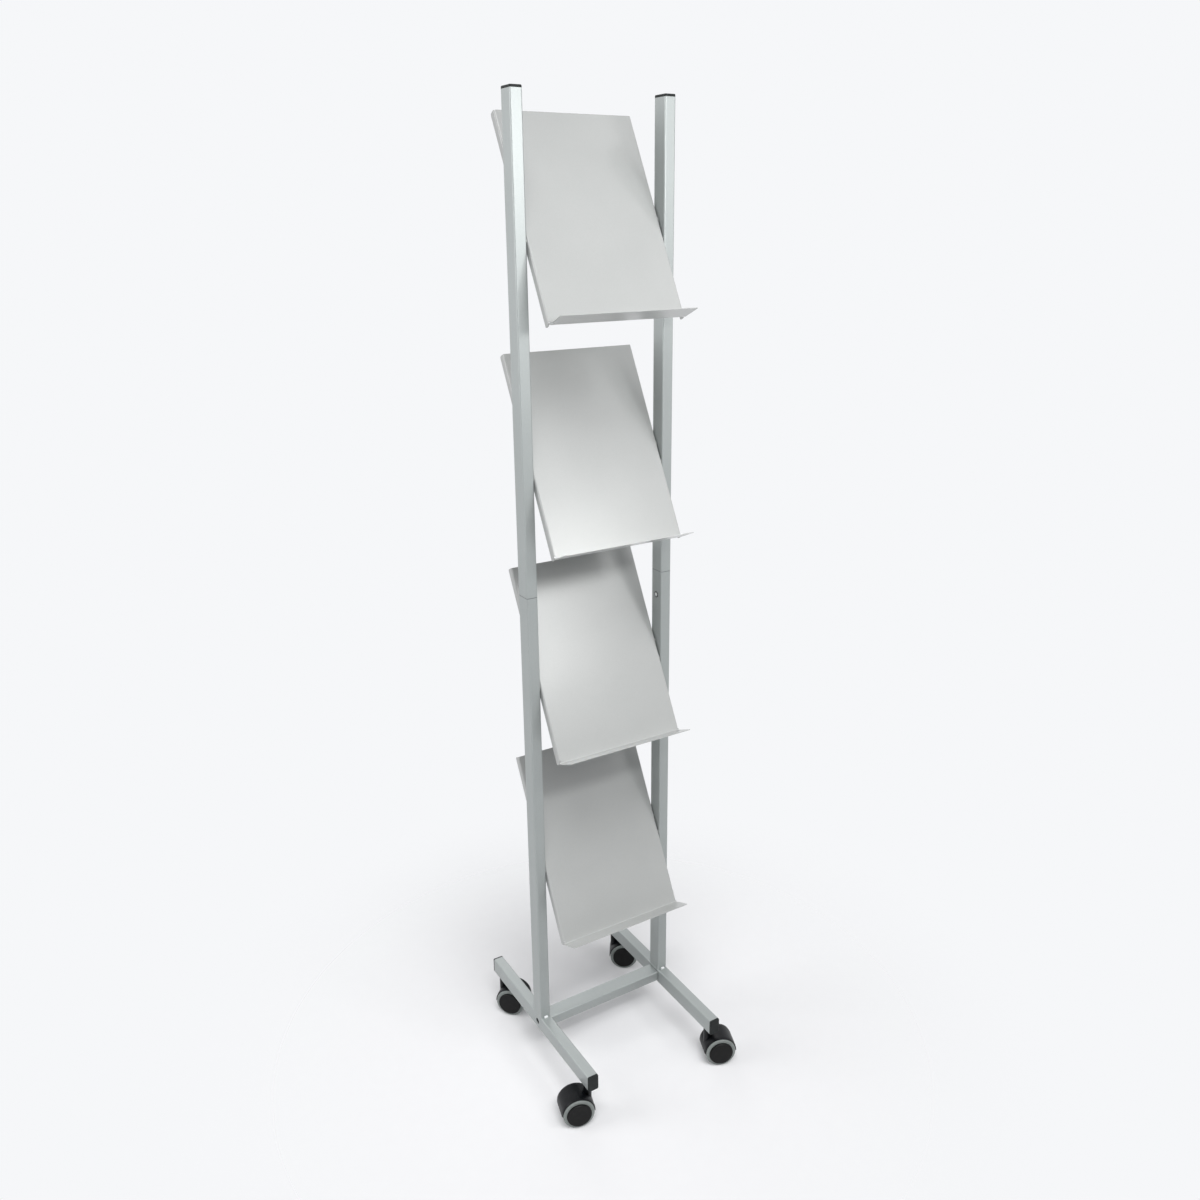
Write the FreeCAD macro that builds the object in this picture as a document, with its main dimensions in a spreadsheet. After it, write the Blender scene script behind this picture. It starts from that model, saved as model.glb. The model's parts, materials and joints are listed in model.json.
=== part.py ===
"""Periodical display rack on four twin-wheel castors.

Two posts of rectangular tube stand on two legs, which a crossbar ties together. Four folded
sheet-metal trays are screwed between the posts. X runs to the right, Y to the back and Z up.
The origin is on the floor, midway between the posts. Lengths are in millimetres.
"""
import FreeCAD
import Part
import math
import os
import re
import Sketcher

SIZES = {
    # Tube that the posts, the legs and the crossbar are cut from
    "tube_width": 20,
    "tube_depth": 30,
    "tube_wall": 1.5,
    "tube_corner": 2.5,
    # Posts
    "post_pitch": 265,
    "lower_post_length": 836,
    "upper_post_length": 764,
    "connector_length": 120,
    "connector_wall": 2,
    "connector_screw_drop": 45,
    "post_cap_thickness": 4,
    # Base
    "leg_length": 374,
    "leg_cap_thickness": 4,
    "cap_plug_length": 9,
    "cap_plug_wall": 2,
    "cap_bevel": 1,
    "access_hole_diameter": 11,
    "insert_length": 20,
    "weld_size": 3,
    "weld_length": 7,
    # Trays
    "lowest_tray_height": 452,
    "tray_pitch": 360,
    "tray_forward": 3,
    "tray_length": 343,
    "tray_lean": 27.5,
    "sheet_thickness": 1.2,
    "bend_radius": 1.8,
    "lip_depth": 40,
    "lip_angle": 93.6,
    "flange_depth": 12,
    "flange_corner": 3,
    "lip_corner": 3,
    "relief_height": 4,
    "relief_width": 1.5,
    # Tray fixings
    "fixing_setback": 7,
    "upper_fixing_drop": 4,
    "lower_fixing_drop": 36,
    "rivet_nut_diameter": 7,
    "rivet_nut_length": 11,
    "rivet_flange_diameter": 10,
    "rivet_flange_thickness": 0.8,
    # Screws and bolts
    "tray_screw_diameter": 5,
    "tray_screw_length": 12,
    "connector_screw_diameter": 6,
    "connector_screw_length": 10,
    "bolt_diameter": 6,
    "bolt_length": 20,
    # Castors
    "castor_inset": 19,
    "wheel_radius": 28.5,
    "tread_depth": 5.9,
    "tread_width": 14.8,
    "tread_bevel": 1.2,
    "hub_stand_out": 3.7,
    "hub_bevel": 1,
    "hub_rim": 2,
    "hub_recess": 8,
    "hub_boss_radius": 6.5,
    "axle_diameter": 6,
    "trail": 21.2,
    "hood_gap": 0.7,
    "hood_wall": 1.8,
    "hood_edge_wall": 1,
    "hood_shoulder": 2.5,
    "crown_drop": 0.3,
    "hood_width": 42,
    "web_thickness": 5,
    "swivel_boss_radius": 7.5,
    "swivel_boss_foot": 4,
    "neck_rise": 14.5,
    "stem_pin_diameter": 8,
    "stem_pin_length": 26,
    "stem_collar_thickness": 1.6,
    "stem_thread_diameter": 10,
    "stem_thread_length": 14,
    "stem_chamfer": 0.8,
    "castor_nut_across_flats": 15,
    "castor_nut_height": 8,
    "front_left_swivel": 164.6,
    "front_right_swivel": -21,
    "back_left_swivel": -47,
    "back_right_swivel": -33.1,
    # Clearances
    "slip_gap": 0.1,
    "running_gap": 0.05,
    "side_gap": 0.5,
    "swivel_gap": 0.3,
    "joint_gap": 0.4,
    "crossbar_gap": 0.3,
    "axle_end_gap": 0.5,
    "hole_clearance": 0.5,
}

TRAY_COUNT = 4
LOWER_POST_TRAYS = 2
FIXING_DROPS = ("upper_fixing_drop", "lower_fixing_drop")
TOUCH = 0.01
FULL_TURN = 360
HALF_TURN = 180
QUARTER_TURN = 90

# Places that several pieces share
CASTOR_HEIGHT = "(2 * wheel_radius + hood_gap + hood_wall + neck_rise)"
LEG_TOP = f"({CASTOR_HEIGHT} + tube_depth)"
BAR_LEVEL = f"({CASTOR_HEIGHT} + tube_depth / 2)"
JOINT_LEVEL = f"({LEG_TOP} + lower_post_length)"
UPPER_POST_FOOT = f"({JOINT_LEVEL} + joint_gap)"
POST_TOP = f"({UPPER_POST_FOOT} + upper_post_length)"
SCREW_LEVEL = f"({JOINT_LEVEL} - connector_screw_drop)"
POST_INNER_FACE = "(post_pitch / 2 - tube_width / 2)"
TRAY_WIDTH = "(post_pitch - tube_width - 2 * rivet_flange_thickness)"
OUTER_BEND = "(bend_radius + sheet_thickness)"
CASTOR_REACH = "(leg_length / 2 - castor_inset)"
WHEEL_INNER_FACE = "(swivel_boss_radius + side_gap)"
WHEEL_OUTER_FACE = f"({WHEEL_INNER_FACE} + tread_width)"
HUB_RADIUS = "(wheel_radius - tread_depth)"

# Screw heads, as shares of the thread's diameter. A thin head is lower than a rivet nut's flange.
BUTTON_HEAD = {"radius": 0.92, "height": 0.55, "crown": 0.55, "shoulder": 0.3}
THIN_HEAD = {"radius": 0.92, "height": 0.1, "crown": 0.8, "shoulder": 0.4}
SOCKET_HEAD = {"radius": 0.82, "height": 1.0, "crown": 0.76, "shoulder": 0.93}
SOCKET_ACROSS_FLATS = 0.6
SOCKET_DEPTH = 0.4

document = FreeCAD.newDocument("display_rack")
sheet = document.addObject("Spreadsheet::Sheet", "sizes")
nodes = []


def fill_sheet():
    """Write each driving size in a cell of its own, with its name as the alias."""
    for row, (name, value) in enumerate(SIZES.items(), start=1):
        sheet.set(f"A{row}", name)
        sheet.set(f"B{row}", str(value))
        sheet.setAlias(f"B{row}", name)
    document.recompute()


def bound(formula):
    """Return a formula on size names as an expression that reads the sheet."""
    return re.sub(r"[a-z][a-z_]+", lambda word: "sizes." + word[0] if word[0] in SIZES else word[0],
                  str(formula))


def value_of(formula):
    """Return what a formula comes to now."""
    return float(sheet.evalExpression(bound(formula)))


def new_body(label, x=0, y=0, z=0, turn=0, about=(0, 0, 1)):
    """Start a sub-part whose place and turn are bound to the sheet."""
    body = document.addObject("PartDesign::Body", label)
    body.Label = label
    start_angle = 1
    body.Placement = FreeCAD.Placement(FreeCAD.Vector(), FreeCAD.Rotation(FreeCAD.Vector(*about),
                                                                         start_angle))
    body.setExpression("Placement.Base.x", bound(x))
    body.setExpression("Placement.Base.y", bound(y))
    body.setExpression("Placement.Base.z", bound(z))
    body.setExpression("Placement.Rotation.Angle", bound(turn))
    nodes.append(body)
    return body


def origin_feature(body, role):
    """Return one of a body's own origin planes or axes."""
    return next(item for item in body.Origin.OriginFeatures if item.Role == role)


def new_sketch(body, plane, across=0, up=0, out=0):
    """Start a sketch on an origin plane, moved across, up and out of it."""
    sketch = body.newObject("Sketcher::SketchObject", body.Label + "_sketch")
    sketch.AttachmentSupport = [(origin_feature(body, plane), "")]
    sketch.MapMode = "FlatFace"
    for axis, formula in zip("xyz", (across, up, out)):
        sketch.setExpression("AttachmentOffset.Base." + axis, bound(formula))
    return sketch


def fix_point(sketch, element, vertex, x, y):
    """Hold one point of a sketch at a bound distance from the sketch's origin."""
    for kind, formula in (("DistanceX", x), ("DistanceY", y)):
        rule = sketch.addConstraint(
            Sketcher.Constraint(kind, -1, 1, element, vertex, value_of(formula)))
        sketch.setExpression(f"Constraints[{rule}]", bound(formula))


def add_circle(sketch, x, y, radius):
    """Add a circle with a bound centre and radius."""
    centre = FreeCAD.Vector(value_of(x), value_of(y), 0)
    circle = sketch.addGeometry(Part.Circle(centre, FreeCAD.Vector(0, 0, 1), value_of(radius)))
    fix_point(sketch, circle, 3, x, y)
    rule = sketch.addConstraint(Sketcher.Constraint("Radius", circle, value_of(radius)))
    sketch.setExpression(f"Constraints[{rule}]", bound(radius))


def add_outline(sketch, corners):
    """Add a closed outline. A corner is (x, y), or (x, y, radius) where it is rounded."""
    count = len(corners)
    points = [FreeCAD.Vector(value_of(corner[0]), value_of(corner[1]), 0) for corner in corners]
    radii = [value_of(corner[2]) if len(corner) > 2 else 0 for corner in corners]
    markers = []
    for corner, point in zip(corners, points):
        marker = sketch.addGeometry(Part.Point(point), True)
        fix_point(sketch, marker, 1, corner[0], corner[1])
        markers.append(marker)
    starts = []
    ends = []
    for index, (point, radius) in enumerate(zip(points, radii)):
        back = (points[index - 1] - point).normalize()
        ahead = (points[(index + 1) % count] - point).normalize()
        setback = radius / math.tan(back.getAngle(ahead) / 2)
        ends.append(point + back * setback)
        starts.append(point + ahead * setback)
    lines = []
    for index in range(count):
        following = (index + 1) % count
        lines.append(sketch.addGeometry(Part.LineSegment(starts[index], ends[following])))
    for index, (corner, radius) in enumerate(zip(corners, radii)):
        before = lines[index - 1]
        after = lines[index]
        if not radius:
            sketch.addConstraint(Sketcher.Constraint("Coincident", before, 2, markers[index], 1))
            sketch.addConstraint(Sketcher.Constraint("Coincident", after, 1, markers[index], 1))
            continue
        add_corner_arc(sketch, ends[index], points[index], starts[index], radius, before, after,
                       markers[index], corner[2])


def add_corner_arc(sketch, first, corner, last, radius, before, after, marker, formula):
    """Round the corner between two lines with a tangent arc of a bound radius."""
    centre_way = ((first - corner) + (last - corner)).normalize()
    reach = math.hypot(radius, first.distanceToPoint(corner))
    centre = corner + centre_way * reach
    start_angle = math.atan2(first.y - centre.y, first.x - centre.x)
    end_angle = math.atan2(last.y - centre.y, last.x - centre.x)
    turns_left = (corner - first).cross(last - corner).z > 0
    if not turns_left:
        start_angle, end_angle = end_angle, start_angle
    circle = Part.Circle(centre, FreeCAD.Vector(0, 0, 1), radius)
    arc = sketch.addGeometry(Part.ArcOfCircle(circle, start_angle, end_angle))
    first_vertex, last_vertex = (1, 2) if turns_left else (2, 1)
    sketch.addConstraint(Sketcher.Constraint("PointOnObject", marker, 1, before))
    sketch.addConstraint(Sketcher.Constraint("PointOnObject", marker, 1, after))
    sketch.addConstraint(Sketcher.Constraint("Tangent", before, 2, arc, first_vertex))
    sketch.addConstraint(Sketcher.Constraint("Tangent", arc, last_vertex, after, 1))
    rule = sketch.addConstraint(Sketcher.Constraint("Radius", arc, radius))
    sketch.setExpression(f"Constraints[{rule}]", bound(formula))


def add_section(sketch, width, height, inset="0", y="0"):
    """Add the tube's rounded rectangle, drawn in by an inset, about the height y."""
    x = f"({width} / 2 - {inset})"
    low = f"({y} - {height} / 2 + {inset})"
    high = f"({y} + {height} / 2 - {inset})"
    radius = f"max(tube_corner - {inset}; tube_wall / 4)"
    add_outline(sketch, [(f"-{x}", low, radius), (x, low, radius), (x, high, radius),
                         (f"-{x}", high, radius)])


def pad(body, sketch, length, symmetric=False, down=False):
    """Pad a sketch by a bound length."""
    feature = body.newObject("PartDesign::Pad", body.Label + "_pad")
    feature.Profile = sketch
    feature.setExpression("Length", bound(length))
    feature.SideType = "Symmetric" if symmetric else "One side"
    feature.Reversed = down
    document.recompute()
    return feature


def pocket(body, sketch, length, along_normal=True, symmetric=False):
    """Cut a sketch into the body, and make sure that the cut takes something away."""
    volume_before = body.Shape.Volume
    feature = body.newObject("PartDesign::Pocket", body.Label + "_pocket")
    feature.Profile = sketch
    feature.setExpression("Length", bound(length))
    feature.SideType = "Symmetric" if symmetric else "One side"
    feature.Reversed = along_normal
    document.recompute()
    if not body.Shape.Volume < volume_before:
        raise RuntimeError(f"{feature.Name} cuts nothing")
    return feature


def revolve(body, sketch, axis, angle=FULL_TURN, symmetric=False):
    """Turn a sketch about one of its own axes."""
    feature = body.newObject("PartDesign::Revolution", body.Label + "_turned")
    feature.Profile = sketch
    feature.ReferenceAxis = (sketch, [axis])
    feature.Angle = angle
    feature.Midplane = symmetric
    document.recompute()
    return feature


def dress(body, kind, chosen, size_name, size):
    """Fillet or chamfer the chosen edges of the body's last feature."""
    tip = body.Tip
    names = [f"Edge{number}" for number, edge in enumerate(tip.Shape.Edges, start=1) if chosen(edge)]
    if not names:
        raise RuntimeError(f"{body.Label} has no edge to dress")
    feature = body.newObject(kind, body.Label + "_dressed")
    feature.Base = (tip, names)
    feature.setExpression(size_name, bound(size))
    document.recompute()
    return feature


def mirror(body, plane):
    """Repeat the whole body on the far side of one of its origin planes."""
    feature = body.newObject("PartDesign::Mirrored", body.Label + "_mirrored")
    feature.MirrorPlane = (origin_feature(body, plane), [""])
    feature.TransformMode = "Whole shape"
    body.Tip = feature
    document.recompute()


def repeat(body, axis, spacing, count):
    """Repeat the whole body at a bound spacing along one of its origin axes."""
    feature = body.newObject("PartDesign::LinearPattern", body.Label + "_row")
    feature.Direction = (origin_feature(body, axis), [""])
    feature.TransformMode = "Whole shape"
    feature.Mode = "Spacing"
    feature.setExpression("Offset", bound(spacing))
    feature.Occurrences = count
    body.Tip = feature
    document.recompute()


def fixing_place(drop):
    """Return the y and z of a tray fixing, from the tray's centre down the slope by a drop."""
    y = f"(tray_forward + fixing_setback * cos(tray_lean) - {drop} * sin(tray_lean))"
    z = f"(-fixing_setback * sin(tray_lean) - {drop} * cos(tray_lean))"
    return y, z


def tray_level(number):
    """Return the height of a tray's centre, where tray 1 is the lowest."""
    return f"(lowest_tray_height + {number - 1} * tray_pitch)"


# ---------------------------------------------------------------- frame

def make_post(side_name, side, part_name, base, length, first_tray, tray_total):
    """Make one length of post, with the rivet-nut holes of its trays in the inner wall."""
    post = new_body(f"{side_name}_{part_name}_post", x=f"{side} * post_pitch / 2", z=base)
    section = new_sketch(post, "XY_Plane")
    add_section(section, "tube_width", "tube_depth")
    add_section(section, "tube_width", "tube_depth", "tube_wall")
    pad(post, section, length)
    for tray in range(first_tray, first_tray + tray_total):
        for drop in FIXING_DROPS:
            y, z = fixing_place(drop)
            hole = new_sketch(post, "YZ_Plane")
            level = f"({tray_level(tray)} + {z} - {base})"
            add_circle(hole, y, level, "rivet_nut_diameter / 2 + running_gap")
            pocket(post, hole, "tube_width", along_normal=side < 0)
    return post


def make_posts(side_name, side):
    """Make the two lengths of one post, with the connector screw's hole in the lower one."""
    lower = make_post(side_name, side, "lower", LEG_TOP, "lower_post_length", 1, LOWER_POST_TRAYS)
    hole = new_sketch(lower, "YZ_Plane")
    add_circle(hole, "0", "lower_post_length - connector_screw_drop",
               "connector_screw_diameter / 2 + running_gap")
    pocket(lower, hole, "tube_width", along_normal=side < 0)
    make_post(side_name, side, "upper", UPPER_POST_FOOT, "upper_post_length", LOWER_POST_TRAYS + 1,
              TRAY_COUNT - LOWER_POST_TRAYS)


def make_connector(side_name, side):
    """Make the tube spigot that joins the two lengths of a post."""
    connector = new_body(f"{side_name}_post_connector", x=f"{side} * post_pitch / 2", z=JOINT_LEVEL)
    section = new_sketch(connector, "XY_Plane")
    add_section(section, "tube_width", "tube_depth", "(tube_wall + slip_gap)")
    add_section(section, "tube_width", "tube_depth", "(tube_wall + slip_gap + connector_wall)")
    pad(connector, section, "connector_length", symmetric=True)
    hole = new_sketch(connector, "YZ_Plane")
    add_circle(hole, "0", "-connector_screw_drop", "connector_screw_diameter / 2 + running_gap")
    pocket(connector, hole, "tube_width", along_normal=side < 0)


def make_cap(label, thickness, **place):
    """Make a tube end cap: a flange with bevelled edges, and a hollow plug below it."""
    cap = new_body(label, **place)
    flange = new_sketch(cap, "XY_Plane")
    add_section(flange, "tube_width", "tube_depth")
    pad(cap, flange, thickness)
    rim = value_of(thickness)
    dress(cap, "PartDesign::Chamfer", lambda edge: edge.BoundBox.ZMin > rim - TOUCH,
          "Size", "cap_bevel")
    plug = new_sketch(cap, "XY_Plane")
    add_section(plug, "tube_width", "tube_depth", "(tube_wall + slip_gap)")
    add_section(plug, "tube_width", "tube_depth", "(tube_wall + slip_gap + cap_plug_wall)")
    pad(cap, plug, "cap_plug_length", down=True)


def make_leg(side_name, side):
    """Make one leg, with castor holes below and the crossbar bolt's holes across it."""
    leg = new_body(f"{side_name}_leg", x=f"{side} * post_pitch / 2", z=BAR_LEVEL)
    section = new_sketch(leg, "XZ_Plane")
    add_section(section, "tube_width", "tube_depth")
    add_section(section, "tube_width", "tube_depth", "tube_wall")
    pad(leg, section, "leg_length", symmetric=True)
    castor_holes = new_sketch(leg, "XY_Plane")
    for end in (-1, 1):
        add_circle(castor_holes, "0", f"{end} * {CASTOR_REACH}",
                   "stem_thread_diameter / 2 + running_gap")
    pocket(leg, castor_holes, "tube_depth", along_normal=False)
    bolt_hole = new_sketch(leg, "YZ_Plane")
    add_circle(bolt_hole, "0", "0", "bolt_diameter / 2 + hole_clearance / 2")
    pocket(leg, bolt_hole, "tube_width", along_normal=side < 0)
    access_hole = new_sketch(leg, "YZ_Plane")
    add_circle(access_hole, "0", "0", "access_hole_diameter / 2")
    pocket(leg, access_hole, "tube_width", along_normal=side > 0)


def make_crossbar():
    """Make the tube that lies flat between the legs."""
    crossbar = new_body("crossbar", z=BAR_LEVEL)
    section = new_sketch(crossbar, "YZ_Plane")
    add_section(section, "tube_depth", "tube_width")
    add_section(section, "tube_depth", "tube_width", "tube_wall")
    pad(crossbar, section, "post_pitch - tube_width - 2 * crossbar_gap", symmetric=True)


def make_crossbar_inserts():
    """Make the threaded plugs, flush with the crossbar's ends."""
    inserts = new_body("crossbar_inserts", z=BAR_LEVEL)
    section = new_sketch(inserts, "YZ_Plane", out=f"{POST_INNER_FACE} - crossbar_gap")
    add_section(section, "tube_depth", "tube_width", "(tube_wall + slip_gap)")
    add_circle(section, "0", "0", "bolt_diameter / 2 + running_gap")
    pad(inserts, section, "insert_length", down=True)
    mirror(inserts, "YZ_Plane")


def make_screws(label, seat, diameter, length, head, outward, places, **place):
    """Make screws that lie along X, with heads seated at x = seat, and mirror them."""
    screws = new_body(label, **place)
    head_radius = f"{head['radius']} * {diameter}"
    head_height = f"{head['height']} * {diameter}"
    crown_radius = f"{head['crown']} * {diameter}"
    socket_depth = f"{SOCKET_DEPTH} * {diameter}"
    for y, z in places:
        profile = new_sketch(screws, "XZ_Plane", across=seat, up=z, out=f"-{y}")
        tip = f"{-outward} * {length}"
        top = f"{outward} * {head_height}"
        add_outline(profile, [(tip, "0"), (tip, f"{diameter} / 2"), ("0", f"{diameter} / 2"),
                              ("0", head_radius), (f"{head['shoulder']} * {top}", head_radius),
                              (top, crown_radius), (top, "0")])
        revolve(screws, profile, "H_Axis")
        hexagon = new_sketch(screws, "YZ_Plane", out=f"{seat} + {top} - {outward} * {socket_depth}")
        add_hexagon(hexagon, y, z, f"{SOCKET_ACROSS_FLATS} * {diameter}")
        pocket(screws, hexagon, f"2 * {socket_depth}", along_normal=outward > 0)
    mirror(screws, "YZ_Plane")
    return screws


def add_hexagon(sketch, x, y, across_flats):
    """Add a hexagon with two flats that face sideways."""
    flat = f"{across_flats} / 2"
    half_side = f"{across_flats} / (2 * sqrt(3))"
    corner = f"{across_flats} / sqrt(3)"
    add_outline(sketch, [(f"{x} + {flat}", f"{y} + {half_side}"), (x, f"{y} + {corner}"),
                         (f"{x} - {flat}", f"{y} + {half_side}"),
                         (f"{x} - {flat}", f"{y} - {half_side}"), (x, f"{y} - {corner}"),
                         (f"{x} + {flat}", f"{y} - {half_side}")])


def make_frame_screws():
    """Make the connector screws on the posts and the crossbar bolts inside the legs."""
    make_screws("connector_screws", POST_INNER_FACE, "connector_screw_diameter",
                "connector_screw_length", THIN_HEAD, -1, [("0", "0")], z=SCREW_LEVEL)
    make_screws("crossbar_bolts", f"{POST_INNER_FACE} + tube_wall", "bolt_diameter",
                "bolt_length", SOCKET_HEAD, 1, [("0", "0")], z=BAR_LEVEL)


def make_welds():
    """Make the weld beads in the corners between each post's foot and its leg."""
    welds = new_body("post_foot_welds", z=LEG_TOP)
    face = "tube_depth / 2"
    bead = new_sketch(welds, "YZ_Plane", out="post_pitch / 2")
    add_outline(bead, [(face, "0"), (f"{face} + weld_size", "0"),
                       (f"{face} + weld_size", "weld_size", "weld_size * 3 / 4"),
                       (face, "weld_size")])
    pad(welds, bead, "weld_length", symmetric=True)
    mirror(welds, "XZ_Plane")
    mirror(welds, "YZ_Plane")


# ---------------------------------------------------------------- trays

def add_fold(sketch, top):
    """Add the side view of a tray's lip and of its panel, up to a height on the panel."""
    foot = "-tray_length / 2"
    lip_y = "(sheet_thickness - lip_depth * sin(lip_angle))"
    lip_z = f"({foot} + lip_depth * cos(lip_angle))"
    add_outline(sketch, [
        ("0", top),
        ("0", f"{foot} + sheet_thickness / tan(lip_angle / 2)", "bend_radius"),
        (f"{lip_y} + sheet_thickness * cos(lip_angle)", f"{lip_z} + sheet_thickness * sin(lip_angle)"),
        (lip_y, lip_z),
        ("sheet_thickness", foot, OUTER_BEND),
        ("sheet_thickness", top),
    ])


def add_flange(sketch, side):
    """Add the cross-section of a tray's side flange, bent back from the panel's edge."""
    edge = f"({TRAY_WIDTH} / 2)"
    inside = f"({edge} - sheet_thickness)"
    root = f"({edge} - 2 * {OUTER_BEND})"
    corners = [(root, "0"), (edge, "0", OUTER_BEND), (edge, "flange_depth"), (inside, "flange_depth"),
               (inside, "sheet_thickness", "bend_radius"), (root, "sheet_thickness")]
    add_outline(sketch, [(f"{side} * {corner[0]}", *corner[1:]) for corner in corners])


def add_flange_foot(sketch, side):
    """Add the cross-section of a flange's flat behind the bend, which runs down past the relief."""
    edge = f"({TRAY_WIDTH} / 2)"
    inside = f"({edge} - sheet_thickness)"
    corners = [(inside, OUTER_BEND), (edge, OUTER_BEND), (edge, "flange_depth"), (inside, "flange_depth")]
    add_outline(sketch, [(f"{side} * {x}", y) for x, y in corners])


def make_tray(number):
    """Make one folded tray: a leaning panel with a lip in front and flanges behind.

    The sheet is bent round three sides, so a relief slot parts each flange's bend from the lip.
    """
    tray = new_body(f"tray_{number}", y="tray_forward", z=tray_level(number), turn="tray_lean",
                    about=(-1, 0, 0))
    panel = new_sketch(tray, "YZ_Plane")
    add_fold(panel, "tray_length / 2")
    pad(tray, panel, f"{TRAY_WIDTH} - 2 * {OUTER_BEND}", symmetric=True)
    lip = new_sketch(tray, "YZ_Plane")
    add_fold(lip, "relief_height - tray_length / 2")
    pad(tray, lip, TRAY_WIDTH, symmetric=True)
    for side in (-1, 1):
        flange = new_sketch(tray, "XY_Plane", out="relief_height + relief_width - tray_length / 2")
        add_flange(flange, side)
        pad(tray, flange, "tray_length - relief_height - relief_width")
        foot = new_sketch(tray, "XY_Plane", out="-tray_length / 2")
        add_flange_foot(foot, side)
        pad(tray, foot, "relief_height + 2 * relief_width")
    rear = value_of("flange_depth")
    dress(tray, "PartDesign::Fillet",
          lambda edge: edge.BoundBox.YMin > rear - TOUCH and edge.BoundBox.ZLength < TOUCH,
          "Radius", "flange_corner")
    thickness = value_of("sheet_thickness")
    front = value_of("sheet_thickness * 2 - lip_depth * sin(lip_angle)")
    dress(tray, "PartDesign::Fillet",
          lambda edge: edge.Length < thickness + TOUCH and edge.BoundBox.YMax < front,
          "Radius", "lip_corner")
    holes = new_sketch(tray, "YZ_Plane")
    for drop in FIXING_DROPS:
        add_circle(holes, "fixing_setback", f"-{drop}", "tray_screw_diameter / 2 + hole_clearance / 2")
    pocket(tray, holes, TRAY_WIDTH, symmetric=True)


def make_rivet_nuts():
    """Make the rivet nuts in the posts' inner faces, one for each tray fixing."""
    nuts = new_body("tray_rivet_nuts", z="lowest_tray_height")
    bore = "(tray_screw_diameter / 2 + running_gap)"
    body_radius = "(rivet_nut_diameter / 2)"
    flange_radius = "(rivet_flange_diameter / 2)"
    far_end = "rivet_nut_length - rivet_flange_thickness"
    for drop in FIXING_DROPS:
        y, z = fixing_place(drop)
        profile = new_sketch(nuts, "XZ_Plane", across=POST_INNER_FACE, up=z, out=f"-{y}")
        add_outline(profile, [
            ("-rivet_flange_thickness", bore), ("-rivet_flange_thickness", flange_radius),
            ("0", flange_radius), ("0", body_radius), (far_end, body_radius), (far_end, bore),
        ])
        revolve(nuts, profile, "H_Axis")
    mirror(nuts, "YZ_Plane")
    repeat(nuts, "Z_Axis", "tray_pitch", TRAY_COUNT)


def make_tray_screws():
    """Make the screws that hold the trays' flanges against the rivet nuts."""
    screws = make_screws("tray_screws", f"({TRAY_WIDTH} / 2 - sheet_thickness)", "tray_screw_diameter",
                         "tray_screw_length", BUTTON_HEAD, -1,
                         [fixing_place(drop) for drop in FIXING_DROPS], z="lowest_tray_height")
    repeat(screws, "Z_Axis", "tray_pitch", TRAY_COUNT)


# ---------------------------------------------------------------- castors

def make_castor_nuts():
    """Make the nuts welded inside the legs, on the bottom wall, that take the castor stems."""
    nuts = new_body("castor_nuts", z=f"{CASTOR_HEIGHT} + tube_wall")
    section = new_sketch(nuts, "XY_Plane")
    add_hexagon(section, "post_pitch / 2", CASTOR_REACH, "castor_nut_across_flats")
    add_circle(section, "post_pitch / 2", CASTOR_REACH, "stem_thread_diameter / 2 + running_gap")
    pad(nuts, section, "castor_nut_height")
    mirror(nuts, "XZ_Plane")
    mirror(nuts, "YZ_Plane")


def make_stem(corner, x, y):
    """Make a castor's upright stem: swivel pin, collar and thread."""
    stem = new_body(f"{corner}_castor_stem", x=x, y=y, z=CASTOR_HEIGHT)
    profile = new_sketch(stem, "XZ_Plane")
    pin = "stem_pin_diameter / 2"
    foot = "-stem_collar_thickness - stem_pin_length"
    thread = "stem_thread_diameter / 2"
    add_outline(profile, [
        ("0", foot), (f"{pin} - stem_chamfer", foot), (pin, f"{foot} + stem_chamfer"),
        (pin, "-stem_collar_thickness"), ("swivel_boss_radius", "-stem_collar_thickness"),
        ("swivel_boss_radius", "0"), (thread, "0"), (thread, "stem_thread_length - stem_chamfer"),
        (f"{thread} - stem_chamfer", "stem_thread_length"), ("0", "stem_thread_length"),
    ])
    revolve(stem, profile, "V_Axis")


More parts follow.
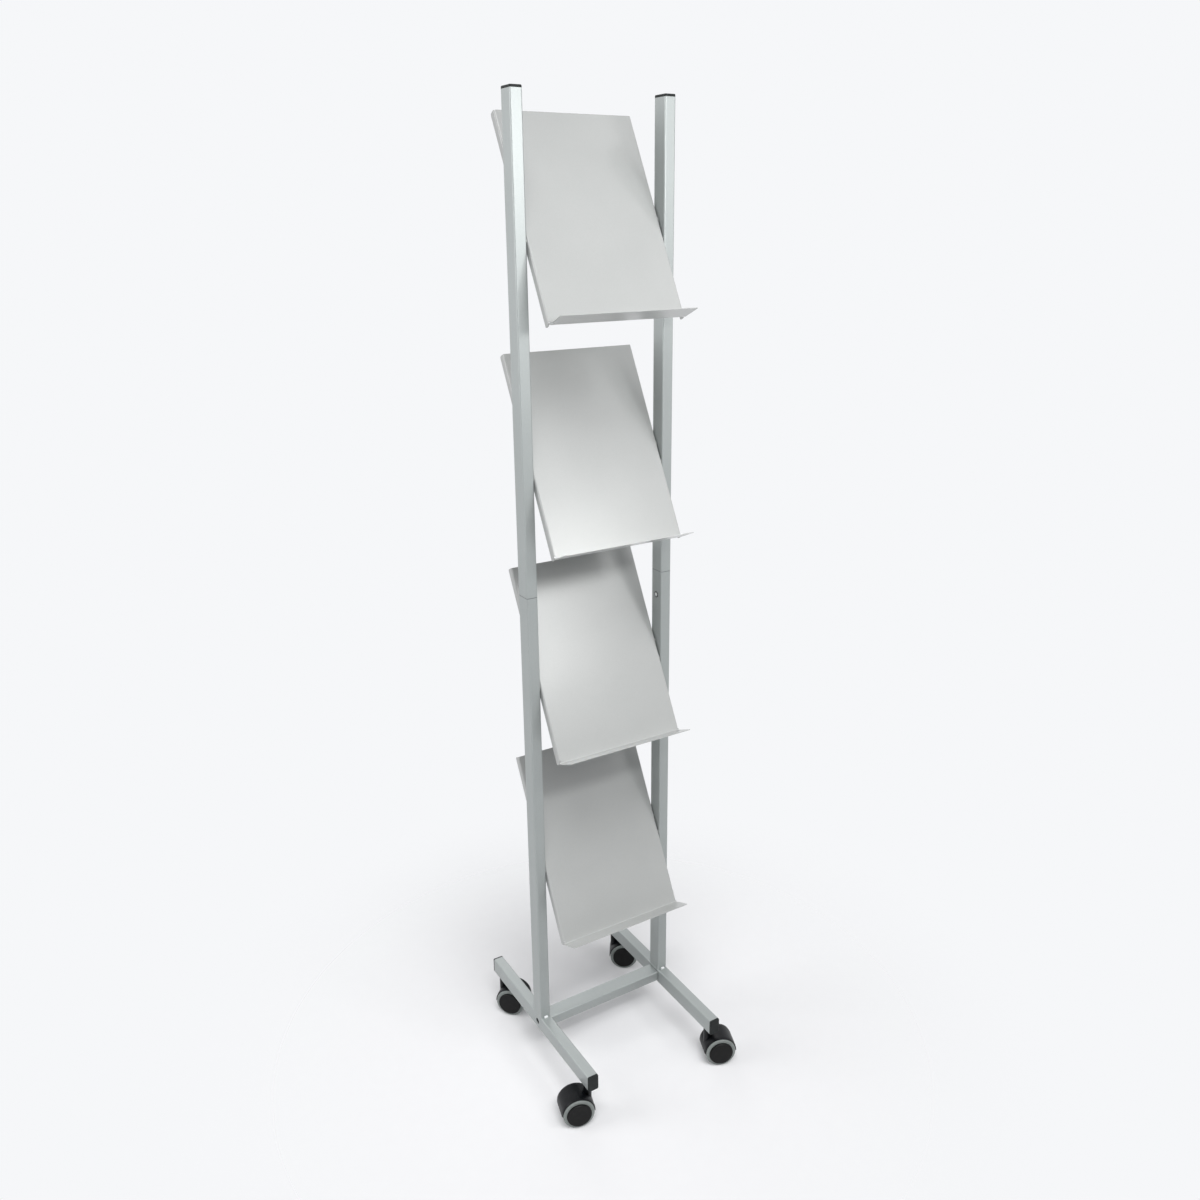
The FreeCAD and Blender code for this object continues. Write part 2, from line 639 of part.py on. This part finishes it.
def make_hood(label, **place):
    """Make a castor's moulded hood, with its origin at the middle of the axle.

    One section, turned half round the axle, gives the centre web and the crowned shell over
    both wheels. The swivel boss rises through it, off the axle by the trail.
    """
    hood = new_body(label, **place)
    inner = "(wheel_radius + hood_gap)"
    web = "(web_thickness / 2)"
    edge = "(hood_width / 2)"
    shoulder = f"({edge} - hood_shoulder)"
    crown = f"({inner} + hood_wall)"
    section = new_sketch(hood, "YZ_Plane")
    add_outline(section, [
        (f"-{web}", "0"), (web, "0"), (web, inner), (edge, inner),
        (edge, f"{inner} + hood_edge_wall"), (shoulder, f"{crown} - crown_drop"),
        (f"{shoulder} - hood_shoulder", crown), (f"hood_shoulder - {shoulder}", crown),
        (f"-{shoulder}", f"{crown} - crown_drop"), (f"-{edge}", f"{inner} + hood_edge_wall"),
        (f"-{edge}", inner), (f"-{web}", inner),
    ])
    revolve(hood, section, "H_Axis", HALF_TURN, symmetric=True)
    axle_boss = new_sketch(hood, "XZ_Plane")
    add_circle(axle_boss, "0", "0", "hub_boss_radius")
    pad(hood, axle_boss, "2 * swivel_boss_radius", symmetric=True)
    neck_top = f"({CASTOR_HEIGHT} - wheel_radius - stem_collar_thickness - swivel_gap)"
    boss = new_sketch(hood, "XY_Plane", across="-trail", out="swivel_boss_foot")
    add_circle(boss, "0", "0", "swivel_boss_radius")
    pad(hood, boss, f"{neck_top} - swivel_boss_foot")
    bore = new_sketch(hood, "XY_Plane", across="-trail", out=neck_top)
    add_circle(bore, "0", "0", "stem_pin_diameter / 2 + running_gap")
    pocket(hood, bore, "stem_pin_length", along_normal=False)
    axle_hole = new_sketch(hood, "XZ_Plane")
    add_circle(axle_hole, "0", "0", "axle_diameter / 2 + running_gap")
    pocket(hood, axle_hole, "2 * swivel_boss_radius", symmetric=True)


def make_axle(label, **place):
    """Make a castor's axle, with chamfered ends."""
    axle = new_body(label, **place)
    profile = new_sketch(axle, "XY_Plane")
    radius = "axle_diameter / 2"
    end = f"({WHEEL_OUTER_FACE} - axle_end_gap)"
    add_outline(profile, [
        ("0", f"-{end}"), (f"{radius} - stem_chamfer", f"-{end}"),
        (radius, f"-{end} + stem_chamfer"), (radius, f"{end} - stem_chamfer"),
        (f"{radius} - stem_chamfer", end), ("0", end),
    ])
    revolve(axle, profile, "V_Axis")


def make_hub(label, **place):
    """Make a wheel's hub: a dished disc whose outer face stands proud of the tread."""
    hub = new_body(label, **place)
    bore = "(axle_diameter / 2 + running_gap)"
    rim = f"({HUB_RADIUS} - slip_gap)"
    dish = f"({WHEEL_INNER_FACE} + hub_recess)"
    face = f"({WHEEL_OUTER_FACE} + hub_stand_out)"
    profile = new_sketch(hub, "XY_Plane")
    add_outline(profile, [
        (bore, WHEEL_INNER_FACE), ("hub_boss_radius", WHEEL_INNER_FACE), ("hub_boss_radius", dish),
        (f"{rim} - hub_rim", dish), (f"{rim} - hub_rim", WHEEL_INNER_FACE), (rim, WHEEL_INNER_FACE),
        (rim, f"{face} - hub_bevel"), (f"{rim} - hub_bevel", face), ("0", face),
        ("0", WHEEL_OUTER_FACE), (bore, WHEEL_OUTER_FACE),
    ])
    revolve(hub, profile, "V_Axis")


def make_tread(label, **place):
    """Make a wheel's tread, a ring with bevelled shoulders."""
    tread = new_body(label, **place)
    profile = new_sketch(tread, "XY_Plane")
    add_outline(profile, [
        (HUB_RADIUS, WHEEL_INNER_FACE), ("wheel_radius - tread_bevel", WHEEL_INNER_FACE),
        ("wheel_radius", f"{WHEEL_INNER_FACE} + tread_bevel"),
        ("wheel_radius", f"{WHEEL_OUTER_FACE} - tread_bevel"),
        ("wheel_radius - tread_bevel", WHEEL_OUTER_FACE), (HUB_RADIUS, WHEEL_OUTER_FACE),
    ])
    revolve(tread, profile, "V_Axis")


def make_castor(corner, side, end):
    """Make the pieces of one castor, below one end of a leg."""
    stem_x = f"{side} * post_pitch / 2"
    stem_y = f"{end} * {CASTOR_REACH}"
    turn = f"{corner}_swivel"
    make_stem(corner, stem_x, stem_y)
    place = {
        "x": f"{stem_x} + trail * cos({turn})",
        "y": f"{stem_y} + trail * sin({turn})",
        "z": "wheel_radius",
    }
    make_hood(f"{corner}_castor_hood", turn=turn, **place)
    make_axle(f"{corner}_castor_axle", turn=turn, **place)
    for wheel, facing in ((1, turn), (2, f"{turn} + {HALF_TURN}")):
        make_hub(f"{corner}_castor_hub_{wheel}", turn=facing, **place)
        make_tread(f"{corner}_castor_tread_{wheel}", turn=facing, **place)


# ---------------------------------------------------------------- whole rack

def write_parts():
    """Check every object and sub-part, and write each sub-part as a STEP file."""
    document.recompute()
    for item in document.Objects:
        if "Invalid" in item.State or "Error" in item.State:
            raise RuntimeError(f"{item.Name} is {item.State}")
    for node in nodes:
        if node.Shape.isNull() or not node.Shape.isValid() or not node.Shape.Solids:
            raise RuntimeError(f"{node.Label} has no valid solid")
    os.makedirs("parts", exist_ok=True)
    for node in nodes:
        node.Shape.exportStep(f"parts/{node.Label}.step")


fill_sheet()
for side_name, side in (("left", -1), ("right", 1)):
    make_posts(side_name, side)
    make_connector(side_name, side)
    make_leg(side_name, side)
    post_x = f"{side} * post_pitch / 2"
    make_cap(f"{side_name}_post_cap", "post_cap_thickness", x=post_x, z=POST_TOP)
    for end_name, end in (("front", -1), ("back", 1)):
        make_cap(f"{end_name}_{side_name}_leg_cap", "leg_cap_thickness", x=post_x,
                 y=f"{end} * leg_length / 2", z=BAR_LEVEL, turn=QUARTER_TURN, about=(-end, 0, 0))
        make_castor(f"{end_name}_{side_name}", side, end)
make_crossbar()
make_crossbar_inserts()
make_frame_screws()
make_welds()
for tray_number in range(1, TRAY_COUNT + 1):
    make_tray(tray_number)
make_rivet_nuts()
make_tray_screws()
make_castor_nuts()
write_parts()
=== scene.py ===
import json
import math

import bmesh
import bpy
from mathutils import Matrix, Vector


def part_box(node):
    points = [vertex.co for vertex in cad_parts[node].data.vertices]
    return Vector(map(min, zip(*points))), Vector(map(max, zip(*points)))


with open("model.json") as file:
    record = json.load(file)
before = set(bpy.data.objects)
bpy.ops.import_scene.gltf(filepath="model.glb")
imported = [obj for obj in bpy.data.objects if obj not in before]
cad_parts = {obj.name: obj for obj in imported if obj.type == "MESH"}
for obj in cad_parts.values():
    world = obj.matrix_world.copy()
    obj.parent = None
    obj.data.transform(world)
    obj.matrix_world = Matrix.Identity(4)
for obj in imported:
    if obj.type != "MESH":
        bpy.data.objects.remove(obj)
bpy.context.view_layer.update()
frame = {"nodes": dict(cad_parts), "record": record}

# Camera, in metres and degrees, with its picture taken as 1200 pixels square
PICTURE_SIDE = 1200
SENSOR_WIDTH = 36
CAMERA_PLACE = (-0.88843, -1.49107, 1.51784)
CAMERA_TURN = -31.015
CAMERA_PITCH = -18.487
CAMERA_ROLL = -0.6
CAMERA_FOCUS = 1070.32
CAMERA_CENTRE = (601.06, 583.42)

# Floor and backdrop: between the two distances of the fade the floor turns into the backdrop, and
# the lift is the share of backdrop that it already has under the rack
BACKDROP = (0.921, 0.930, 0.947)
PAPER_TONES = ((0.905, 0.903, 0.920), (0.925, 0.925, 0.940))
FLOOR_RADIUS = 9
FLOOR_CORNERS = 96
FLOOR_FADE = (0.15, 0.9)
FLOOR_LIFT = 0.1

# Light: the key's direction, its width in degrees and its strength, and the share of the sky's
# brightness that falls on what isn't a mirror
KEY_TOWARDS = (-0.18, -0.39, 0.89)
KEY_SPREAD = 34
KEY_STRENGTH = 1.6
SKY_FILL = 0.17

# Softboxes: place, the point that each is turned to, width, height and watts
SOFTBOXES = {
    "front_box": ((0.66, -1.3, 1.75), (0, 0, 0.9), 0.36, 0.46, 4.3),
    "low_box": ((-0.05, -1.2, 1.70), (0, 0, 1.35), 0.8, 0.16, 8),
    "high_box": ((1.0, -1.2, 2.8), (0, 0, 1.5), 1.1, 1.1, 3),
    "side_box": ((-2.2, 0.9, 1.9), (0, 0, 1.0), 1.2, 1.6, 24),
    "back_box": ((0.7, 2.3, 1.5), (0, 0, 0.9), 1.2, 1.6, 8),
}

# Painted shade along the line where an upper post stands on a lower one, standing in for the shade
# in the gap between them, and the head of the screw below it, with a painted highlight on its crown
# and painted shade round its rim: the shaded line's half width, and between which radii the painted
# highlight of the crown turns into the shaded rim, in metres
SEAM_REACH = 0.0007
SEAM_SHADE_COLOUR = (0.12, 0.13, 0.13)
SCREW_HIGHLIGHT_RADII = (0.0030, 0.0040)
SCREW_HIGHLIGHT_TONES = ((0.88, 0.89, 0.89), (0.97, 0.97, 0.97))
SCREW_SHADE_RIM = (0.06, 0.065, 0.065)

# Other colours of finishes
# The weld's near-white tones are a painted highlight, standing in for the glint on the coated beads
WELD_GLINT_TONES = ((0.86, 0.87, 0.88), (0.96, 0.97, 0.98))
TREAD_TONES = ((0.225, 0.250, 0.240), (0.285, 0.310, 0.300))
TREAD_WORN = (0.17, 0.175, 0.165)
DUST = (0.30, 0.29, 0.27)

# Sockets of the colour Mix node, which share their names with those of its other kinds
MIX_FIRST, MIX_SECOND, MIX_RESULT = 6, 7, 2


class Value:
    """A number from a node's output, with the sums that a finish is worked out by."""

    def __init__(self, finish, socket):
        self.finish = finish
        self.socket = socket

    def maths(self, operation, *values):
        return self.finish.node("ShaderNodeMath", {"operation": operation}, dict(enumerate(values)))

    def __add__(self, other):
        return self.maths("ADD", self, other)

    def __radd__(self, other):
        return self.maths("ADD", other, self)

    def __sub__(self, other):
        return self.maths("SUBTRACT", self, other)

    def __rsub__(self, other):
        return self.maths("SUBTRACT", other, self)

    def __mul__(self, other):
        return self.maths("MULTIPLY", self, other)

    def __rmul__(self, other):
        return self.maths("MULTIPLY", other, self)

    def __truediv__(self, other):
        return self.maths("DIVIDE", self, other)

    def __rtruediv__(self, other):
        return self.maths("DIVIDE", other, self)

    def size(self):
        return self.maths("ABSOLUTE", self)

    def limited(self):
        return self.finish.node("ShaderNodeClamp", {}, {"Value": self})

    def spread(self, low, high):
        """Stretch low..high over 0..1, and cut off what lies outside."""
        return ((self - low) / (high - low)).limited()


class Finish:
    """A procedural material, with a node tree that its makers add to."""

    def __init__(self, name, constants):
        self.material = bpy.data.materials.new(name)
        self.material.use_nodes = True
        self.tree = self.material.node_tree
        self.shader = self.tree.nodes["Principled BSDF"]
        for socket, value in constants.items():
            self.shader.inputs[socket].default_value = value
        self.place = self.node("ShaderNodeTexCoord", {}, {}, "Object")

    def node(self, kind, settings, values, output=0):
        """Add a node: its settings first, then the values or links of its sockets."""
        node = self.tree.nodes.new(kind)
        for name, setting in settings.items():
            setattr(node, name, setting)
        for name, value in values.items():
            self.feed(node.inputs[name], value)
        return Value(self, node.outputs[output])

    def feed(self, socket, value):
        if isinstance(value, Value):
            self.tree.links.new(value.socket, socket)
        elif isinstance(value, tuple) and socket.type == "RGBA":
            socket.default_value = (*value, 1)
        else:
            socket.default_value = value

    def set(self, varying):
        """Feed the shader's own sockets with what changes over the surface."""
        for socket, value in varying.items():
            self.feed(self.shader.inputs[socket], value)

    def noise(self, scale, detail=2, roughness=0.5, place=None):
        """Noise in 0..1, with scale as its bumps in a metre."""
        return self.node("ShaderNodeTexNoise", {},
                         {"Vector": place or self.place, "Scale": scale, "Detail": detail,
                          "Roughness": roughness})

    def stretched(self, x, y, z):
        """The place on the piece with each axis stretched."""
        return self.node("ShaderNodeVectorMath", {"operation": "MULTIPLY"},
                         {0: self.place, 1: (x, y, z)}, "Vector")

    def blend(self, share, first, second):
        """Mix two colours by a share."""
        return self.node("ShaderNodeMix", {"data_type": "RGBA"},
                         {"Factor": share, MIX_FIRST: first, MIX_SECOND: second}, MIX_RESULT)

    def bump(self, height, depth):
        """Turn heights in 0..1 into a relief of that depth in metres."""
        self.set({"Normal": self.node("ShaderNodeBump", {}, {"Height": height, "Distance": depth})})


# ---------------------------------------------------------------- finishes

def make_powder_coat(name, dark, light, metallic, roughness, gloss, peel, seam=None):
    """Silver powder coat: flakes under a clear skin, faint clouds, and a dark line of painted shade
    where tubes meet.
    """
    coat = Finish(name, {"Metallic": metallic, "Coat Roughness": 0.2})
    flakes = coat.noise(scale=1500, roughness=0.7)
    clouds = coat.noise(scale=9, detail=3)
    skin = coat.noise(scale=330)
    tone = (flakes * 0.75 + clouds * 0.25).spread(0.32, 0.68)
    colour = coat.blend(tone, dark, light)
    if seam:
        height = coat.node("ShaderNodeSeparateXYZ", {}, {"Vector": coat.place}, "Z")
        # painted shade: a dark line along the joint, standing in for the shade in the narrow gap
        # between the tubes
        colour = coat.blend((height - seam).size().spread(SEAM_REACH, 0), colour, SEAM_SHADE_COLOUR)
    coat.set({"Base Color": colour,
              "Roughness": roughness + (flakes - 0.5) * 0.10 + (clouds - 0.5) * 0.06,
              "Coat Weight": gloss + clouds * 0.08})
    coat.bump(skin * 0.8 + flakes * 0.2, peel)
    return coat.material


def make_plated_steel(name, dark, light, roughness, streak):
    """Zinc or bright plated steel, with turning marks and patchy tone."""
    steel = Finish(name, {"Metallic": 1.0})
    patches = steel.noise(scale=420, detail=3)
    marks = steel.noise(scale=700, roughness=0.6, place=steel.stretched(*streak))
    steel.set({"Base Color": steel.blend(patches.spread(0.3, 0.7), dark, light),
               "Roughness": roughness + (marks - 0.5) * 0.22})
    steel.bump(marks, depth=0.00004)
    return steel.material


def make_screw_highlight_and_shade(name, node):
    """Screw head with a painted highlight as its bright crown and painted shade as the darker rim
    around it.
    """
    crown = Finish(name, {"Metallic": 1.0})
    middle = [(low + high) / 2 for low, high in zip(*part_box(node))]
    from_middle = crown.node("ShaderNodeVectorMath", {"operation": "SUBTRACT"},
                             {0: crown.place, 1: middle}, "Vector")
    from_axis = crown.node("ShaderNodeVectorMath", {"operation": "MULTIPLY"},
                           {0: from_middle, 1: (0, 1, 1)}, "Vector")
    radius = crown.node("ShaderNodeVectorMath", {"operation": "LENGTH"}, {0: from_axis}, "Value")
    # painted shade: the rim round the head is darkened, standing in for the shade in the gap round
    # the head
    shaded_rim = radius.spread(*SCREW_HIGHLIGHT_RADII)
    fine = crown.noise(scale=900)
    # painted highlight: the crown is near white, standing in for the glint on the domed head
    crown.set({"Base Color": crown.blend(shaded_rim, crown.blend(fine, *SCREW_HIGHLIGHT_TONES), SCREW_SHADE_RIM),
               "Roughness": 0.28 + shaded_rim * 0.2 + fine * 0.06})
    crown.bump(fine, depth=0.00003)
    return crown.material


def make_weld_metal(name):
    """Coated weld bead: ripples across it and a slightly uneven skin, with a near-white painted
    highlight as its colour.
    """
    weld = Finish(name, {"Metallic": 0.55})
    ripples = weld.node("ShaderNodeTexWave", {"bands_direction": "X"},
                        {"Vector": weld.place, "Scale": 240.0, "Distortion": 1.5, "Detail": 1.0})
    skin = weld.noise(scale=900)
    # painted highlight: the near-white base colour stands in for the glint on the bead
    weld.set({"Base Color": weld.blend(skin.spread(0.3, 0.7), *WELD_GLINT_TONES),
              "Roughness": 0.30 + skin * 0.12})
    weld.bump(ripples * 0.7 + skin * 0.3, depth=0.0004)
    return weld.material


def make_plastic(name, dark, light, roughness, grain, depth, dust):
    """Moulded plastic: a fine spark-eroded grain, with a little dust lying on it."""
    plastic = Finish(name, {"IOR": 1.5, "Specular IOR Level": 0.2})
    pits = plastic.noise(grain, roughness=0.6)
    clouds = plastic.noise(scale=60, detail=3)
    specks = plastic.noise(scale=160, detail=4, roughness=0.7)
    lying = (specks * clouds).spread(0.24, 0.5) * dust
    tone = plastic.blend(clouds.spread(0.3, 0.7), dark, light)
    plastic.set({"Base Color": plastic.blend(lying, tone, DUST),
                 "Roughness": roughness + (pits - 0.5) * 0.16 + lying * 0.3})
    plastic.bump(pits, depth)
    return plastic.material


def make_tread_rubber(name):
    """Soft grey castor tread: matt, with rolled-in dust and fine scuffs."""
    rubber = Finish(name, {"IOR": 1.48})
    fine = rubber.noise(scale=1400, roughness=0.6)
    scuffs = rubber.noise(scale=210, detail=4, roughness=0.65)
    worn = scuffs.spread(0.46, 0.72) * 0.45
    tone = rubber.blend(fine.spread(0.25, 0.75), *TREAD_TONES)
    rubber.set({"Base Color": rubber.blend(worn, tone, TREAD_WORN),
                "Roughness": 0.62 + scuffs * 0.2})
    rubber.bump(fine * 0.5 + scuffs * 0.5, depth=0.00006)
    return rubber.material


def make_finishes():
    """Make every material, keyed by the record's slots, or by the node that has its own."""
    post_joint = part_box("left_lower_post")[1][2]
    return {
        "frame_coating": make_powder_coat(
            "satin_silver_coat", dark=(0.34, 0.365, 0.36), light=(0.41, 0.435, 0.43),
            metallic=0.6, roughness=0.48, gloss=0.14, peel=0.00003, seam=post_joint),
        "tray_coating": make_powder_coat(
            "semi_gloss_silver_coat", dark=(0.40, 0.41, 0.403), light=(0.47, 0.48, 0.473),
            metallic=0.08, roughness=0.32, gloss=0.35, peel=0.00002),
        "zinc_steel": make_plated_steel(
            "zinc_plate", dark=(0.50, 0.50, 0.47), light=(0.68, 0.68, 0.66),
            roughness=0.34, streak=(1, 1, 6)),
        "screw_steel": make_plated_steel(
            "bright_plate", dark=(0.52, 0.53, 0.53), light=(0.70, 0.71, 0.71),
            roughness=0.22, streak=(6, 1, 1)),
        "weld_metal": make_weld_metal("coated_weld_glint"),
        "black_caps": make_plastic(
            "cap_plastic", dark=(0.009, 0.011, 0.011), light=(0.014, 0.017, 0.017),
            roughness=0.5, grain=1500, depth=0.00003, dust=0.02),
        "castor_hood": make_plastic(
            "hood_plastic", dark=(0.002, 0.0025, 0.003), light=(0.004, 0.0045, 0.006),
            roughness=0.36, grain=1300, depth=0.00003, dust=0.02),
        "castor_hub": make_plastic(
            "hub_plastic", dark=(0.002, 0.002, 0.002), light=(0.004, 0.004, 0.004),
            roughness=0.46, grain=1800, depth=0.00004, dust=0.02),
        "castor_tread": make_tread_rubber("grey_tread"),
        "connector_screws": make_screw_highlight_and_shade("screw_highlight_and_shade", "connector_screws"),
    }


def coat_nodes(finishes):
    """Give every CAD node its own finish, or that of its slot."""
    for subpart in frame["record"]["subparts"]:
        node = frame["nodes"][subpart["node"]]
        for slot in node.material_slots:
            slot.material = finishes.get(subpart["node"], finishes[subpart["material_slot"]])


# ---------------------------------------------------------------- floor, light and camera

def make_backdrop_ray(finish):
    """Tell a ray that should meet the plain backdrop: from the camera, a mirror or glass."""
    ray = {name: finish.node("ShaderNodeLightPath", {}, {}, name)
           for name in ("Is Camera Ray", "Is Glossy Ray", "Is Transmission Ray")}
    return (ray["Is Camera Ray"] + ray["Is Glossy Ray"] + ray["Is Transmission Ray"]).limited()


def make_floor():
    """Lay the pale floor, which fades into the backdrop away from the rack."""
    mesh = bpy.data.meshes.new("floor")
    form = bmesh.new()
    bmesh.ops.create_circle(form, cap_ends=True, segments=FLOOR_CORNERS, radius=FLOOR_RADIUS)
    form.to_mesh(mesh)
    form.free()
    floor = bpy.data.objects.new("floor", mesh)
    bpy.context.scene.collection.objects.link(floor)
    paper = Finish("floor_paper", {"Roughness": 0.9, "Specular IOR Level": 0.0})
    paper.set({"Base Color": paper.blend(paper.noise(scale=40), *PAPER_TONES)})
    away = paper.node("ShaderNodeVectorMath", {"operation": "LENGTH"}, {0: paper.place}, "Value")
    away = away.spread(*FLOOR_FADE)
    away = away * away * (3 - away * 2)
    fade = (FLOOR_LIFT + away * (1 - FLOOR_LIFT)) * make_backdrop_ray(paper)
    clear = paper.node("ShaderNodeBsdfTransparent", {}, {})
    laid = Value(paper, paper.shader.outputs[0])
    mixed = paper.node("ShaderNodeMixShader", {}, {0: fade, 1: laid, 2: clear})
    paper.feed(paper.tree.nodes["Material Output"].inputs["Surface"], mixed)
    mesh.materials.append(paper.material)


class Sky(Finish):
    """The world's nodes, built as a finish's are."""

    def __init__(self):
        world = bpy.data.worlds.new("studio")
        world.use_nodes = True
        self.tree = world.node_tree
        bpy.context.scene.world = world


def make_sky():
    """Set a backdrop that shows as written, and a softer fill for what it lights."""
    sky = Sky()
    seen = make_backdrop_ray(sky)
    strength = SKY_FILL + seen * (1 - SKY_FILL)
    background = sky.tree.nodes["Background"]
    sky.feed(background.inputs["Color"], BACKDROP)
    sky.feed(background.inputs["Strength"], strength)


def add_softbox(name, place, aim, width, height, power):
    """Hang a softbox at a place, turned to aim at a point."""
    light = bpy.data.lights.new(name, "AREA")
    light.shape = "RECTANGLE"
    light.size = width
    light.size_y = height
    light.energy = power
    lamp = bpy.data.objects.new(name, light)
    lamp.location = place
    lamp.rotation_euler = (Vector(aim) - Vector(place)).to_track_quat("-Z", "Y").to_euler()
    lamp.visible_camera = False
    bpy.context.scene.collection.objects.link(lamp)


def add_key(name, towards, spread, strength):
    """Add a broad, distant key light that comes from one direction."""
    light = bpy.data.lights.new(name, "SUN")
    light.angle = math.radians(spread)
    light.energy = strength
    lamp = bpy.data.objects.new(name, light)
    lamp.rotation_euler = Vector(towards).to_track_quat("Z", "Y").to_euler()
    bpy.context.scene.collection.objects.link(lamp)


def make_lights():
    """Light the rack from high in front, and with softboxes round it."""
    add_key("key", KEY_TOWARDS, KEY_SPREAD, KEY_STRENGTH)
    for name, box in SOFTBOXES.items():
        add_softbox(name, *box)


def make_camera():
    """Set up the camera, rolled and shifted as the lens constants say."""
    turn, pitch, roll = map(math.radians, (CAMERA_TURN, CAMERA_PITCH, CAMERA_ROLL))
    ahead = Vector((-math.sin(turn) * math.cos(pitch), math.cos(turn) * math.cos(pitch),
                    math.sin(pitch)))
    level = Vector((math.cos(turn), math.sin(turn), 0))
    upright = level.cross(ahead)
    right = math.cos(roll) * level + math.sin(roll) * upright
    up = math.cos(roll) * upright - math.sin(roll) * level
    lens = bpy.data.cameras.new("camera")
    lens.sensor_width = SENSOR_WIDTH
    lens.lens = CAMERA_FOCUS * SENSOR_WIDTH / PICTURE_SIDE
    lens.shift_x = (PICTURE_SIDE / 2 - CAMERA_CENTRE[0]) / PICTURE_SIDE
    lens.shift_y = (CAMERA_CENTRE[1] - PICTURE_SIDE / 2) / PICTURE_SIDE
    camera = bpy.data.objects.new("camera", lens)
    camera.matrix_world = Matrix.Translation(CAMERA_PLACE) @ Matrix(
        (right, up, -ahead)).transposed().to_4x4()
    bpy.context.scene.collection.objects.link(camera)
    bpy.context.scene.camera = camera


bpy.context.scene.view_settings.view_transform = "Standard"
make_camera()
make_floor()
make_sky()
make_lights()
coat_nodes(make_finishes())
